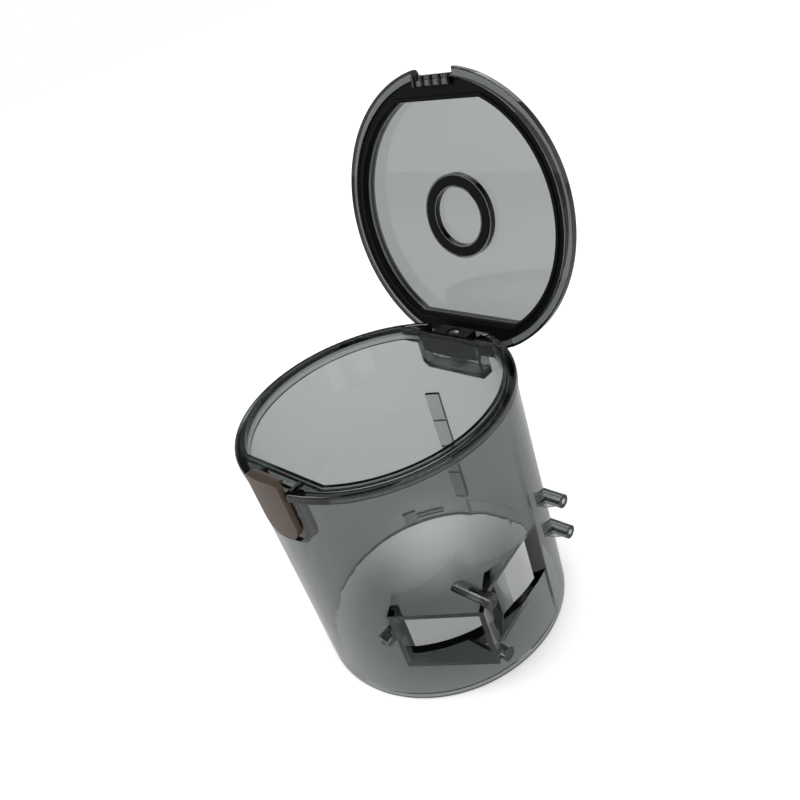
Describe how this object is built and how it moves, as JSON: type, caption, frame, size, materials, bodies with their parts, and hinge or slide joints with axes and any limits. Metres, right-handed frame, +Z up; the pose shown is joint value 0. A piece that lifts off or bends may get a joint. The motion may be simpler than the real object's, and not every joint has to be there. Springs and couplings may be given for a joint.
{
  "type": "cyclone dust bin",
  "caption": "Clear smoky dust cup, open at both ends, with a hinged lid, a rocking release button, a side inlet duct and screw bosses.",
  "frame": {"origin": "centre of the motor end's register, on the plane the cup stands on", "axes": "+Z up the cup's axis to the lid end, -Y towards the release button, +Y towards the hinge, +X towards the inlet duct's side"},
  "size_m": [0.1181, 0.1371, 0.205],
  "materials": {
    "smoky_clear": "polished, see-through",
    "black_rubber": "satin",
    "bronze_plastic": "satin metallic",
    "black_plastic": "satin",
    "steel": "plain"
  },
  "bodies": {
    "cup": {"cup_body": "smoky_clear", "button_pin": "steel", "button_spring": "steel", "hinge_bracket": "black_plastic", "hinge_pins": "steel", "hinge_screw": "steel"},
    "lid": {"lid_panel": "smoky_clear", "lid_seal": "black_rubber", "centre_seal": "black_rubber"},
    "button": {"release_button": "bronze_plastic"}
  },
  "joints": [
    {"name": "lid_hinge", "type": "hinge", "parent": "cup", "child": "lid", "pos_m": [0, 0.0495, 0.1036], "axis": [1, 0, 0], "range_deg": [0, 100]},
    {"name": "button_rock", "type": "hinge", "parent": "cup", "child": "button", "pos_m": [0, -0.0514, 0.0988], "axis": [1, 0, 0], "range_deg": [0, 10], "stiffness_Nm_per_rad": 0.15, "springref_deg": -5.73, "deforming": ["button_spring"]}
  ]
}
